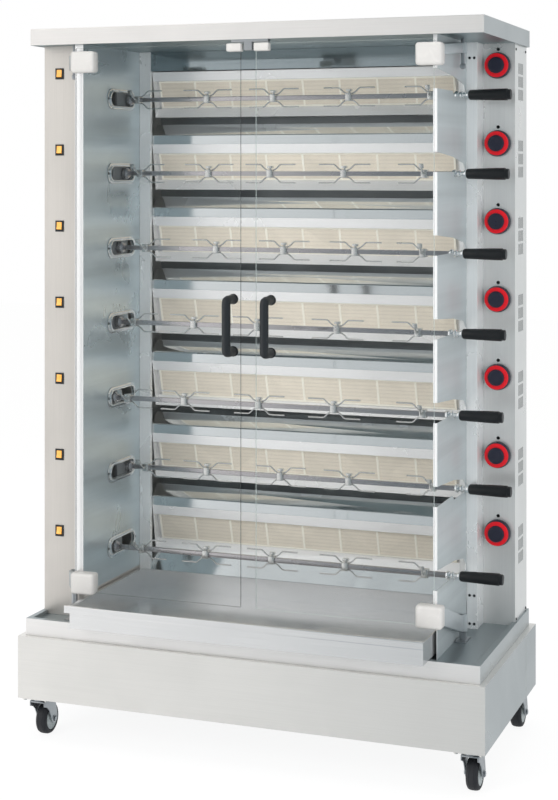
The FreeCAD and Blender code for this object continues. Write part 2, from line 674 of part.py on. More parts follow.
def left_door_hinges():
    pieces = []
    x0 = LEFT_LEAF[0] - 6
    px, py = LEFT_PIVOT
    for z0 in (BOTTOM_CLAMP_Z, TOP_CLAMP_Z):
        outline = [(x0 + 8, CLAMP_FRONT + 5), (x0 + 1, CLAMP_FRONT + 6), (px - 10, py - 12), (px - 10, py),
                   (px + 10, py), (px + 10, py - 22), (x0 - 5, CLAMP_BACK - 2), (x0 + 8, CLAMP_BACK - 2)]
        arm = prism_z(outline, z0 + 8, z0 + CLAMP_HEIGHT - 8)
        eye = rod_z(z0 + 8, z0 + CLAMP_HEIGHT - 8, px, py, 10)
        pieces.append(fuse([corner_clamp(x0, z0), arm, eye]).cut(pivot_bore(LEFT_PIVOT)).cut(glass_slot(LEFT_LEAF)))
    pieces.append(catch_clamp(LEFT_LEAF[1] + 3 - CATCH_WIDTH).cut(glass_slot(LEFT_LEAF)))
    return pieces


def right_door_hinges():
    """The arms reach back past the spit grips, so that the door swings clear of them."""
    pieces = []
    x0 = RIGHT_LEAF[1] + 24 - CLAMP_WIDTH
    px, py = RIGHT_PIVOT
    front = CLAMP_BACK - 10
    ends = {TOP_CLAMP_Z: (1746, 1772, 1762, 1788), BOTTOM_CLAMP_Z: (388, 434, 326, 368)}
    for z0, (front_low, front_high, low, high) in ends.items():
        outline = [(front, front_low), (front, front_high), (py - 14, high), (py, high), (py, low),
                   (py - 14, low)]
        arm = prism_x(outline, px - 11, px + 11)
        eye = rod_z(low, high, px, py, 11)
        piece = fuse([corner_clamp(x0, z0), arm, eye])
        pieces.append(piece.cut(pivot_bore(RIGHT_PIVOT)).cut(glass_slot(RIGHT_LEAF)))
    pieces.append(catch_clamp(RIGHT_LEAF[0] - 3).cut(glass_slot(RIGHT_LEAF)))
    return pieces


def door_handle(x):
    """Black bow handle, with a washer and nut behind the glass."""
    corners = [V(x, GLASS_FRONT, HANDLE_BOTTOM), V(x, HANDLE_Y, HANDLE_BOTTOM),
               V(x, HANDLE_Y, HANDLE_TOP), V(x, GLASS_FRONT, HANDLE_TOP)]
    parts = [rod_between(start, end, HANDLE_RADIUS) for start, end in zip(corners, corners[1:])]
    parts += [Part.makeSphere(HANDLE_RADIUS, corner) for corner in corners[1:3]]
    back = GLASS_FRONT + GLASS
    nuts = [rod_y(back, back + 5, x, z, 9) for z in (HANDLE_BOTTOM, HANDLE_TOP)]
    return [fuse(parts)] + nuts


def hinge_pin(pivot, low, high, ball_z):
    """Pin with a round nut, and a boss where it is fixed."""
    x, y = pivot
    return fuse([rod_z(low, high, x, y, PIN_RADIUS), Part.makeSphere(8, V(x, y, ball_z))])


def door_hardware():
    """Fixed pins, brackets and the top catch of the two doors."""
    left_x, left_y = LEFT_PIVOT
    right_x, right_y = RIGHT_PIVOT
    pieces = [hinge_pin(LEFT_PIVOT, 1712, SOFFIT, 1714), hinge_pin(RIGHT_PIVOT, 1728, SOFFIT, 1730)]
    pieces.append(fuse([rod_z(PLINTH_FLOOR, 420, left_x, left_y, PIN_RADIUS),
                        rod_z(PLINTH_FLOOR, 388, left_x, left_y, 8),
                        box(left_x - 14, left_x + 14, left_y - 30, left_y + 16, PLINTH_FLOOR, PLINTH_FLOOR + 4)]))
    pieces.append(fuse([rod_z(PLINTH_FLOOR, 360, right_x, right_y, PIN_RADIUS),
                        rod_z(PLINTH_FLOOR, 324, right_x, right_y, 9),
                        box(right_x - 14, right_x + 14, right_y - 30, right_y + 24,
                            PLINTH_FLOOR, PLINTH_FLOOR + 4)]))
    bracket = box(-40, 58, -251, -226, SOFFIT - 8, SOFFIT)
    bracket = bracket.common(box(-41, 59, CANOPY_FRONT + SHEET, -226, SOFFIT - 8, SOFFIT))
    magnet = round_edges(box(-7, 16, -242, -228, CATCH_BOTTOM + 3, SOFFIT - 8), 2.0, V(0, 0, 1))
    pieces.append(fuse([bracket, magnet]))
    return pieces


def screw_head_y(x, y, z):
    return turned_y([(y, 3.6), (y - 1.4, 3.0), (y - 2.0, 1.6), (y - 2.0, 0.01)], x, z)


def screw_head_x(x, y, z, side):
    head = turned_x([(0, 3.6), (1.4, 3.0), (2.0, 1.6), (2.0, 0.01)], 0, 0)
    if side < 0:
        head.rotate(V(0, 0, 0), V(0, 0, 1), 180)
    head.translate(V(x, y, z))
    return head


def fasteners():
    heads = []
    for z in (PLINTH_FLOOR + 15, SOFFIT - 15):
        heads.append(screw_head_x(RIGHT_OUTER, RIGHT_FRONT + 12, z, 1))
        heads.append(screw_head_x(RIGHT_OUTER, COLUMN_BACK - 12, z, 1))
        heads.append(screw_head_x(LEFT_OUTER, LEFT_FRONT + 12, z, -1))
        heads.append(screw_head_x(LEFT_OUTER, COLUMN_BACK - 12, z, -1))
    for z in (316, 388, 1757):
        heads.append(screw_head_y(503, POST_FRONT_RIGHT, z))
        heads.append(screw_head_y(491, POST_FRONT_RIGHT, z))
    for row in range(ROWS):
        for side in (-1, 1):
            heads.append(screw_head_x(LEFT_WALL + 3, socket_centre_y() + side * 81.5, row_z(row), 1))
    return heads


def drip_tray():
    """Drawer under the spits: an open pan with a rolled front rim."""
    pan = box(TRAY_LEFT, TRAY_RIGHT, TRAY_FRONT, TRAY_BACK, TRAY_BOTTOM, TRAY_TOP - 2)
    well = box(TRAY_LEFT + SHEET, TRAY_RIGHT - SHEET, TRAY_FRONT + SHEET, TRAY_BACK - SHEET,
               TRAY_BOTTOM + SHEET, TRAY_TOP)
    rim = box(TRAY_LEFT - 15, TRAY_RIGHT, TRAY_FRONT - 2, TRAY_FRONT + 8, TRAY_TOP - TRAY_RIM, TRAY_TOP)
    rim = round_edges(rim, 1.5, V(1, 0, 0))
    rim = rim.cut(box(TRAY_LEFT - 16, TRAY_RIGHT + 1, TRAY_FRONT, TRAY_FRONT + 9,
                      TRAY_TOP - TRAY_RIM - 1, TRAY_TOP - 2))
    flange = box(TRAY_LEFT - 9, TRAY_LEFT + SHEET, TRAY_FRONT, TRAY_BACK, TRAY_TOP - 2 - SHEET, TRAY_TOP - 2)
    return [fuse([pan.cut(well), rim, flange])]


def castor_fork(x, y):
    """Swivel fork that trails its wheel towards the back."""
    head = BASE_BOTTOM - PLATE_THICKNESS - 0.5
    disc = turned_z([(head - 8.5, 20), (head - 8.5, 27), (head - 2, 28), (head, 25)], x, y)
    crown = box(x - 22, x + 22, y - 24, y + 26, head - 12.5, head - 8)
    axle_y = y + CASTOR_TRAIL
    leg = [(-24, head - 8), (26, head - 8), (48, 44), (42, 30), (20, 30), (6, 62), (-24, 82)]
    outline = [(y + dy, z) for dy, z in leg]
    legs = [prism_x(outline, x - 22, x - 19), prism_x(outline, x + 19, x + 22)]
    axle = rod_x(x - 22, x + 22, axle_y, WHEEL_RADIUS, AXLE_RADIUS)
    heads = [rod_x(x - 26, x - 22, axle_y, WHEEL_RADIUS, 7), rod_x(x + 22, x + 26, axle_y, WHEEL_RADIUS, 7)]
    body = fuse([disc, crown] + legs + [axle] + heads)
    kingpin = rod_z(head - 10, head + 1, x, y, KINGPIN_RADIUS + RUNNING_FIT)
    pocket = rod_z(head - 13, head - 9.4, x, y, KINGPIN_RADIUS + 5)
    return [cut(body, [kingpin, pocket])]


def turned_z(profile, x, y):
    """Solid turned about an upright axis, from (z, radius) points."""
    points = [V(x, y, profile[0][0])]
    points += [V(x + radius, y, z) for z, radius in profile]
    points += [V(x, y, profile[-1][0])]
    return polygon_face(points).revolve(V(x, y, 0), V(0, 0, 1), 360)


def castor_wheel(x, y):
    axle_y = y + CASTOR_TRAIL
    half = WHEEL_WIDTH / 2
    r = WHEEL_RADIUS
    tyre = turned_x([(x - half, r - 12), (x - half, r - 6), (x - half + 4, r - 1.5), (x - half + 9, r),
                     (x + half - 9, r), (x + half - 4, r - 1.5), (x + half, r - 6), (x + half, r - 12)],
                    axle_y, r)
    core = rod_x(x - half, x + half, axle_y, r, r - 12)
    hub = rod_x(x - half + 4, x + half - 4, axle_y, r, r - 12)
    boss = rod_x(x - 18.4, x + 18.4, axle_y, r, 10)
    bore = rod_x(x - 20, x + 20, axle_y, r, AXLE_RADIUS + RUNNING_FIT)
    return [tyre.cut(core), fuse([hub, boss]).cut(bore)]


def build_nodes():
    nodes = {
        "base_cabinet": base_cabinet(),
        "plinth_tray": [plinth_tray()],
        "left_column": [left_column()],
        "left_wall": [left_wall()],
        "right_wall": [right_wall()],
        "right_column": [right_column()],
        "corner_posts": corner_posts(),
        "back_panel": [back_panel()],
        "canopy": canopy(),
        "reflectors": reflectors(),
        "burner_housings": [burner_housing(row) for row in range(ROWS)],
        "burner_tiles": burner_tiles(),
        "socket_bezels": socket_bezels(),
        "switch_housings": switch_housings(),
        "gas_manifold": gas_manifold(),
        "door_hardware": door_hardware(),
        "fasteners": fasteners(),
        "drip_tray": drip_tray(),
        "door_glass_left": door_glass(LEFT_LEAF),
        "door_glass_right": door_glass(RIGHT_LEAF),
        "door_hinges_left": left_door_hinges(),
        "door_hinges_right": right_door_hinges(),
        "door_handle_left": door_handle(HANDLE_X[0]),
        "door_handle_right": door_handle(HANDLE_X[1]),
    }
    for row in range(ROWS):
        number = row + 1
        nodes["drive_carriage_%d" % number] = drive_carriage(row)
        nodes["spit_%d" % number] = spit(row)
        nodes["knob_%d" % number] = knob(row)
        nodes["rocker_%d" % number] = rocker(row)
    for number, (x, y) in enumerate(castor_places(), 1):
        nodes["castor_fork_%d" % number] = castor_fork(x, y)
        nodes["castor_wheel_%d" % number] = castor_wheel(x, y)
    return nodes


def main():
    os.makedirs("parts", exist_ok=True)
    for name, solids in build_nodes().items():
        shape = solids[0] if len(solids) == 1 else Part.makeCompound(solids)
        for solid in solids:
            if not solid.isValid() or len(solid.Solids) != 1:
                print("check", name, solid.ShapeType, len(solid.Solids), solid.isValid())
        shape.exportStep("parts/%s.step" % name)
    print("nodes", len(os.listdir("parts")))


main()
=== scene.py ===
"""Looks of the gas chicken rotisserie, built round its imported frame. Metres, front towards -Y."""

import math

import bmesh
import bpy
from mathutils import Matrix, Vector


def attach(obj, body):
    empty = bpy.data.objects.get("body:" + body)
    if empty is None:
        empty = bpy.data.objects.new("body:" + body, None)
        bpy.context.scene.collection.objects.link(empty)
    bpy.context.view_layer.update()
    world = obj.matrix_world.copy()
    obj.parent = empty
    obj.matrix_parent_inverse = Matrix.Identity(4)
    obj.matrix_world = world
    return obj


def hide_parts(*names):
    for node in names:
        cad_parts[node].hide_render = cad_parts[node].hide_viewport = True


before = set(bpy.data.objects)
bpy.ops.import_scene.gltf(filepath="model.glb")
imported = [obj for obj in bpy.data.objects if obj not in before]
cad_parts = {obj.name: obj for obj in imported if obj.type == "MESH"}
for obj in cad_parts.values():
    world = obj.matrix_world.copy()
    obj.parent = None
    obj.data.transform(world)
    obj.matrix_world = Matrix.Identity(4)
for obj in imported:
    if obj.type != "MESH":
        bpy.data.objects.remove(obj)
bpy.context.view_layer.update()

MM = 0.001

# Main dimensions, in millimetres, of what is built here in place of plain solids
ROWS = 7
ROW_PITCH = 200.0
TOP_SPIT_Z = 1662.0
SPIT_BACK_Y = 46.0
SPIT_FORWARD = (0.0, 25.0, 56.0, 66.0, 94.0, 0.0, 91.0)
FORK_STATIONS = (
    (-430, -225, -35, 175, 395),
    (-410, -210, -35, 170, 385),
    (-380, -175, 15, 210, 390),
    (-410, -235, -55, 165, 380),
    (-415, -250, -40, 165, 400),
    (-405, -225, -15, 175, 400),
    (-375, -190, -5, 195, 405),
)
BAR_ENDS = (-457.0, 470.0)
BAR_HALF = 6.0
TINE_RADIUS = 1.9
TINE_ROUTE = ((5, 8), (11, 9.4), (19, 15), (27, 23.6), (35, 24), (52, 24), (70, 24))
WING_LEAN = {0: -9, 4: 0}
KNOB_X = 550.0
KNOB_ABOVE_SPIT = 78.0
COLUMN_FRONT = 130.0
GLASS_FRONT = -242.0
LEFT_LEAF = (-473.0, -15.0)
RIGHT_LEAF = (25.0, 480.0)
LEFT_PIVOT = (-497.0, -200.0)
RIGHT_PIVOT = (500.0, -41.0)
TOP_CLAMP_Z = 1721.0
BOTTOM_CLAMP_Z = 383.0
CLAMP_WIDTH = 66.0
CLAMP_HEIGHT = 55.0
CLAMP_Y = (-262.0, -226.0)
CATCH_Y = (-250.0, -228.0)
CATCH_Z = (1766.0, 1786.0)
HANDLE_X = (-34.0, 66.0)
HANDLE_Y = -290.0
HANDLE_RADIUS = 11.3
HANDLE_BOTTOM = 1021.0
HANDLE_TOP = 1151.0
TILES = 8
TILE_PITCH = 105.0
TILE_ROW_LEFT = -410.0
TILE_TOP_Y = 143.0
TILE_TOP_ABOVE_SPIT = 55.0
TILE_FOOT_Y = 165.0
TILE_FOOT_BELOW_SPIT = 18.0
JOINT_WIDTH = 5.2
EDGE_JOINT_WIDTH = 4.4
CASTOR_X = 572.0
CASTOR_Y = 240.0
CASTOR_TRAIL = 30.0
CASTOR_HEAD_Z = 105.5
WHEEL_RADIUS = 40.0
HOOD_BOTTOM = 1735.0

# Arms of the right leaf: lowest and highest at the clamp, then lowest and highest at the pin
RIGHT_ARMS = {
    TOP_CLAMP_Z: (1746, 1772, 1762, 1788),
    BOTTOM_CLAMP_Z: (388, 434, 326, 368),
}

# Sides of a turned form, where it is a nut or has to look quite round
HEXAGON = 6
KNOB_SIDES = 64

# Camera, as fitted to the photograph's own perspective
CAMERA_PLACE = (1.5127, -4.0738, 1.4758)
CAMERA_TURN = math.radians(20.41)
CAMERA_LENS = 74.8
CAMERA_SHIFT = -0.2896

# Base colours, chosen so that each surface comes out of the render in the photograph's tone
CABINET_STEEL = "#F0EEEA"
# Painted shade: grey for the faces of the outer sheet that turn to the right
SIDE_PAINTED_SHADE = "#BCC1C2"
PLINTH_STEEL = "#F6F4F2"
TRAY_STEEL = "#EDEDED"
# Painted shade: darker grey for the upward faces of the plinth tray inside the cavity
HOOD_PAINTED_SHADE = "#A5B0B4"
# Painted shade: darker grey for the mirror sheet where it is the hood under the canopy
PLINTH_TOP_PAINTED_SHADE = "#9AA4A7"
ARM_STEEL = "#B4BBBE"
# Painted shade: dim grey inside the gas column and on the set-back edges of its louvres
COLUMN_INSIDE_SHADE = "#6B7275"
COLUMN_STEEL = "#DAD5CF"
CANOPY_STEEL = "#EDEAE7"
RIGHT_COLUMN_STEEL = "#EEEEEC"
CAVITY_STEEL = "#DAE6EA"
RIGHT_WALL_STEEL = "#CBD3D5"
# Painted shade: darker grey for the faces of the outer sheet that turn down, such as the canopy's underside
UNDERSIDE_PAINTED_SHADE = "#8A9A9D"
# Painted light: near white for the faces of the cavity walls that turn to the front
FLANGE_PAINTED_LIGHT = "#FFFFFF"
POLISHED_STEEL = "#E6EAEB"
HOUSING_STEEL = "#FFFFFF"
POST_STEEL = "#F6F8F8"
CHROME = "#FAFCFD"
FORK_STEEL = "#DEDEDC"
BAR_STEEL = "#BDBABC"
TILE_BEIGE = "#EFE6D6"
TILE_JOINT = "#FBF7EA"
KNOB_BLACK = "#232536"
KNOB_RED = "#E6041E"
GRIP_BLACK = "#17191B"
HANDLE_BLACK = "#23272A"
CLAMP_WHITE = "#D3D1CE"
GLASS_FACE = "#D9E2E0"
# Painted shade and painted light: edge tones of the left and the right leaf of the same glass
GLASS_EDGE_PAINTED_SHADE = "#161C1B"
GLASS_EDGE_PAINTED_LIGHT = "#C6D2CF"
LENS_AMBER = "#F2A038"
# Painted highlight: bright glow colour for soft patches on the switch lens
LENS_GLOW_HIGHLIGHT = [1.0, 0.55, 0.16, 1.0]
TYRE_GREY = "#2A2B2E"
HUB_GREY = "#B7BEBE"
ZINC = "#B4B7BA"
BOLT_DARK = "#3B3F41"
BRASS = "#B69A5E"
# Cast grey of the drive, made darker as painted shade in the socket recesses
MOTOR_GREY_AND_RECESS_SHADE = "#8B8F92"
GALVANISED = "#A4A8AA"

# How much of the light the glass stops, face on and at its ground edge
GLASS_FILM = 0.004
GLASS_EDGE_ALPHA = 0.9

# What the steel mirrors of the studio: to the left, towards the front right, and behind the machine
ROOM_WHITE = "#FFFFFF"
ROOM_DIM = "#828D93"
ROOM_BEHIND = "#D6DADC"

# Strength of the world as light, the floor's own white and its share against the shadow, half the floor
WORLD_LIGHT = 0.6
FLOOR_WHITE = 1.06
FLOOR_SHARE = 0.85
FLOOR_HALF = 12.0

# Grain of a metal, as texture scales along X, Y and Z: brushed upright or across, cast, or drawn
GRAIN_UPRIGHT = (420.0, 420.0, 5.0)
GRAIN_ACROSS = (5.0, 420.0, 420.0)
GRAIN_CAST = (90.0, 90.0, 90.0)
GRAIN_SAND = (300.0, 300.0, 300.0)
GRAIN_WIRE = (60.0, 60.0, 60.0)


def linear(hex_colour):
    """sRGB hex text as linear red, green, blue and alpha."""
    channels = [int(hex_colour[i:i + 2], 16) / 255 for i in (1, 3, 5)]
    return [c / 12.92 if c <= 0.04045 else ((c + 0.055) / 1.055) ** 2.4 for c in channels] + [1.0]


def shader(name):
    """New material with its node tree and its Principled shader."""
    material = bpy.data.materials.new(name)
    material.use_nodes = True
    tree = material.node_tree
    return material, tree, tree.nodes["Principled BSDF"]


def wire(tree, start, end):
    tree.links.new(start, end)


def noise(tree, scales, detail=2.0, distortion=0.0, seed=0.0):
    """Noise in the row frame, stretched by a scale for each axis."""
    coords = tree.nodes.new("ShaderNodeTexCoord")
    mapping = tree.nodes.new("ShaderNodeMapping")
    mapping.inputs["Scale"].default_value = scales
    mapping.inputs["Location"].default_value = (seed, seed * 0.7, seed * 1.3)
    texture = tree.nodes.new("ShaderNodeTexNoise")
    texture.inputs["Scale"].default_value = 1.0
    texture.inputs["Detail"].default_value = detail
    texture.inputs["Distortion"].default_value = distortion
    wire(tree, coords.outputs["Object"], mapping.inputs["Vector"])
    wire(tree, mapping.outputs["Vector"], texture.inputs["Vector"])
    return texture.outputs["Fac"]


def remap(tree, value, low, high, start=0.3, end=0.7):
    """Value squeezed from start..end to low..high."""
    node = tree.nodes.new("ShaderNodeMapRange")
    node.inputs["From Min"].default_value = start
    node.inputs["From Max"].default_value = end
    node.inputs["To Min"].default_value = low
    node.inputs["To Max"].default_value = high
    wire(tree, value, node.inputs["Value"])
    return node.outputs["Result"]


def calculate(tree, operation, *values):
    """Maths node on values that are sockets or plain numbers."""
    node = tree.nodes.new("ShaderNodeMath")
    node.operation = operation
    for value, socket in zip(values, node.inputs):
        if isinstance(value, float):
            socket.default_value = value
        else:
            wire(tree, value, socket)
    return node.outputs["Value"]


def component(tree, kind, axis):
    """One axis of a texture coordinate, such as Object for a place or Normal for the way a face looks."""
    coords = tree.nodes.new("ShaderNodeTexCoord")
    axes = tree.nodes.new("ShaderNodeSeparateXYZ")
    wire(tree, coords.outputs[kind], axes.inputs["Vector"])
    return axes.outputs[axis]


def blend_colours(tree, factor, first, second):
    """Mix of two colours, each a list of numbers or a socket."""
    node = tree.nodes.new("ShaderNodeMix")
    node.data_type = "RGBA"
    for socket, colour in ((node.inputs[6], first), (node.inputs[7], second)):
        if isinstance(colour, list):
            socket.default_value = colour
        else:
            wire(tree, colour, socket)
    wire(tree, factor, node.inputs[0])
    return node.outputs[2]


def shade(colour, amount):
    """Colour made lighter or darker by a factor."""
    return [min(1.0, c * amount) for c in colour[:3]] + [1.0]


def bump(tree, height, strength, distance, normal=None):
    node = tree.nodes.new("ShaderNodeBump")
    node.inputs["Strength"].default_value = strength
    node.inputs["Distance"].default_value = distance
    wire(tree, height, node.inputs["Height"])
    if normal is not None:
        wire(tree, normal, node.inputs["Normal"])
    return node.outputs["Normal"]


def steel(name, hex_colour, roughness, grain, metallic=0.9, wave=0.4, streak=0.06, seed=0.0):
    """Sheet steel: fine brushed grain, faint handling marks and a slow waviness of the sheet."""
    material, tree, principled = shader(name)
    colour = linear(hex_colour)
    fine = noise(tree, grain, detail=3.0, seed=seed)
    marks = noise(tree, (5.0, 5.0, 5.0), detail=5.0, distortion=0.6, seed=seed + 3)
    slow = noise(tree, (2.2, 2.2, 2.2), detail=1.0, seed=seed + 7)
    streaked = blend_colours(tree, fine, shade(colour, 1 - streak), shade(colour, 1 + streak))
    marked = blend_colours(tree, remap(tree, marks, 0.0, 0.35, 0.45, 0.75), streaked, shade(colour, 0.93))
    wire(tree, marked, principled.inputs["Base Color"])
    wire(tree, remap(tree, marks, roughness - 0.04, roughness + 0.08), principled.inputs["Roughness"])
    principled.inputs["Metallic"].default_value = metallic
    waves = bump(tree, slow, wave, 0.004)
    wire(tree, bump(tree, fine, 0.12, 0.0002, waves), principled.inputs["Normal"])
    return material


def recolour(material, factor, colour):
    """Blend the base colour that a material has so far towards another one."""
    tree = material.node_tree
    base = tree.nodes["Principled BSDF"].inputs["Base Color"]
    wire(tree, blend_colours(tree, factor, base.links[0].from_socket, colour), base)


def facing(tree, axis, start, end):
    """0 to 1 as the part of the surface normal along an axis goes from start to end."""
    return remap(tree, component(tree, "Normal", axis), 0.0, 1.0, start, end)


def beyond(tree, axis, start, end):
    """0 to 1 as the place along an axis, in metres, goes from start to end."""
    return remap(tree, component(tree, "Object", axis), 0.0, 1.0, start, end)


def wall_steel(name, hex_colour, roughness, metallic, seed):
    """Cavity wall: grey-green sheet with soft level bands, and painted light, much lighter, on the faces
    turned to the front such as the flange.
    """
    material = steel(name, hex_colour, roughness, GRAIN_UPRIGHT, metallic=metallic, wave=0.2, seed=seed)
    tree = material.node_tree
    bands = noise(tree, (0.5, 0.5, 24.0), detail=4.0, distortion=0.1, seed=seed + 1)
    recolour(material, remap(tree, bands, 0.0, 0.5, 0.42, 0.66), shade(linear(hex_colour), 0.72))
    # Painted light: faces turned to the front are made nearly white
    recolour(material, facing(tree, "Y", -0.5, -0.8), linear(FLANGE_PAINTED_LIGHT))
    return material


def right_column_steel(name):
    """Gas column: pale outside, with painted shade in a dim grey on the faces inside it that turn to the
    right, and on the cut edges of the louvres.
    """
    material = steel(name, RIGHT_COLUMN_STEEL, 0.30, GRAIN_UPRIGHT, metallic=0.65, wave=0.2, seed=5)
    tree = material.node_tree
    middle, front = KNOB_X * MM, COLUMN_FRONT * MM
    # Painted shade: faces in the left half that turn to the right, inside the column
    left_half = beyond(tree, "X", middle, middle - 0.002)
    inner_side_shade = calculate(tree, "MULTIPLY", left_half, facing(tree, "X", 0.5, 0.9))
    recolour(material, inner_side_shade, linear(COLUMN_INSIDE_SHADE))
    # Painted shade: faces turned to the front that lie behind the column's front, in the louvres
    behind_front = beyond(tree, "Y", front + 0.008, front + 0.010)
    louvre_edge_shade = calculate(tree, "MULTIPLY", behind_front, facing(tree, "Y", -0.5, -0.8))
    recolour(material, louvre_edge_shade, linear(COLUMN_INSIDE_SHADE))
    return material


def reflector_steel(name):
    """Mirror sheet between the rows, painted a darker grey as painted shade where it becomes the hood over
    the top row.
    """
    material = steel(name, POLISHED_STEEL, 0.07, GRAIN_ACROSS, metallic=1.0, wave=0.3, streak=0.03)
    hood = HOOD_BOTTOM * MM
    # Painted shade: the sheet above the hood's lower edge is made darker
    recolour(material, beyond(material.node_tree, "Z", hood, hood + 0.002), linear(HOOD_PAINTED_SHADE))
    return material


def shaded_steel(name, hex_colour, metallic, seed, top=None):
    """Outer sheet: pale in front, with painted shade on the faces turned to the right and on those turned
    down, and on the faces turned up where a shade colour is given.
    """
    material = steel(name, hex_colour, 0.30, GRAIN_ACROSS, metallic=metallic, wave=0.2, streak=0.04,
                     seed=seed)
    tree = material.node_tree
    # Painted shade: faces turned to the right are made greyer
    recolour(material, facing(tree, "X", 0.5, 0.9), linear(SIDE_PAINTED_SHADE))
    # Painted shade: faces turned down are made darker
    recolour(material, facing(tree, "Z", -0.5, -0.9), linear(UNDERSIDE_PAINTED_SHADE))
    # Painted shade: faces turned up take the darker colour given as top
    if top:
        recolour(material, facing(tree, "Z", 0.5, 0.9), linear(top))
    return material


def ceramic_tile(name):
    """Porous burner plate: rows of fine holes darkened with painted shade, a faint mottling and a tone of
    its own for each tile.
    """
    material, tree, principled = shader(name)
    colour = linear(TILE_BEIGE)
    island = tree.nodes.new("ShaderNodeNewGeometry")
    tone = remap(tree, island.outputs["Random Per Island"], 0.0, 1.0, 0.0, 1.0)
    base = blend_colours(tree, tone, shade(colour, 0.93), shade(colour, 1.05))
    mottle = noise(tree, (24.0, 24.0, 24.0), detail=6.0)
    mottled = blend_colours(tree, remap(tree, mottle, 0.0, 0.5), base, shade(colour, 0.86))
    coords = tree.nodes.new("ShaderNodeTexCoord")
    holes = tree.nodes.new("ShaderNodeTexVoronoi")
    holes.inputs["Scale"].default_value = 330.0
    holes.inputs["Randomness"].default_value = 0.15
    wire(tree, coords.outputs["Object"], holes.inputs["Vector"])
    # Painted shade: the holes are darkened as if in shade
    pore_shade = remap(tree, holes.outputs["Distance"], 1.0, 0.0, 0.18, 0.34)
    wire(tree, blend_colours(tree, pore_shade, mottled, shade(colour, 0.62)), principled.inputs["Base Color"])
    principled.inputs["Roughness"].default_value = 0.9
    wire(tree, bump(tree, holes.outputs["Distance"], 0.5, 0.0006), principled.inputs["Normal"])
    return material


def plastic(name, hex_colour, roughness, grain=900.0):
    """Moulded plastic, rubber or cement with a fine texture and faint scuffs."""
    material, tree, principled = shader(name)
    colour = linear(hex_colour)
    fine = noise(tree, (grain, grain, grain), detail=2.0)
    scuff = noise(tree, (40.0, 40.0, 40.0), detail=5.0, distortion=1.0, seed=5)
    worn = blend_colours(tree, remap(tree, scuff, 0.0, 0.6, 0.5, 0.75), colour, shade(colour, 1.12))
    wire(tree, worn, principled.inputs["Base Color"])
    wire(tree, remap(tree, scuff, roughness - 0.05, roughness + 0.1), principled.inputs["Roughness"])
    wire(tree, bump(tree, fine, 0.15, 0.0002), principled.inputs["Normal"])
    return material


def lit_lens(name):
    """Amber switch lens that glows faintly, lighter in soft patches of painted highlight."""
    material, tree, principled = shader(name)
    colour = linear(LENS_AMBER)
    highlight_patches = noise(tree, (60.0, 60.0, 60.0), detail=1.0)
    # Painted highlight: the lens glows brighter in soft patches
    glow_and_highlight = blend_colours(tree, highlight_patches, shade(colour, 0.9), LENS_GLOW_HIGHLIGHT)
    wire(tree, glow_and_highlight, principled.inputs["Base Color"])
    wire(tree, glow_and_highlight, principled.inputs["Emission Color"])
    principled.inputs["Emission Strength"].default_value = 0.35
    principled.inputs["Roughness"].default_value = 0.25
    return material


def door_glass(name, painted_edge_colour):
    """Clear toughened glass: nearly invisible face on, with a ground edge painted in the tone given,
    painted shade on the left leaf and painted light on the right.
    """
    material, tree, principled = shader(name)
    across = calculate(tree, "ABSOLUTE", component(tree, "Normal", "Y"))
    edge = remap(tree, across, 1.0, 0.0, 0.2, 0.9)
    rim = tree.nodes.new("ShaderNodeFresnel")
    rim.inputs["IOR"].default_value = 1.5
    smear = noise(tree, (6.0, 6.0, 2.0), detail=4.0, distortion=0.8)
    film = calculate(tree, "MULTIPLY_ADD", remap(tree, smear, 0.06, 0.2), rim.outputs["Fac"], GLASS_FILM)
    alpha = tree.nodes.new("ShaderNodeMix")
    wire(tree, edge, alpha.inputs[0])
    wire(tree, film, alpha.inputs[2])
    alpha.inputs[3].default_value = GLASS_EDGE_ALPHA
    # Painted shade or light on the edge, by the tone given for this leaf
    colour = blend_colours(tree, edge, linear(GLASS_FACE), linear(painted_edge_colour))
    wire(tree, colour, principled.inputs["Base Color"])
    wire(tree, alpha.outputs[0], principled.inputs["Alpha"])
    principled.inputs["Roughness"].default_value = 0.03
    return material


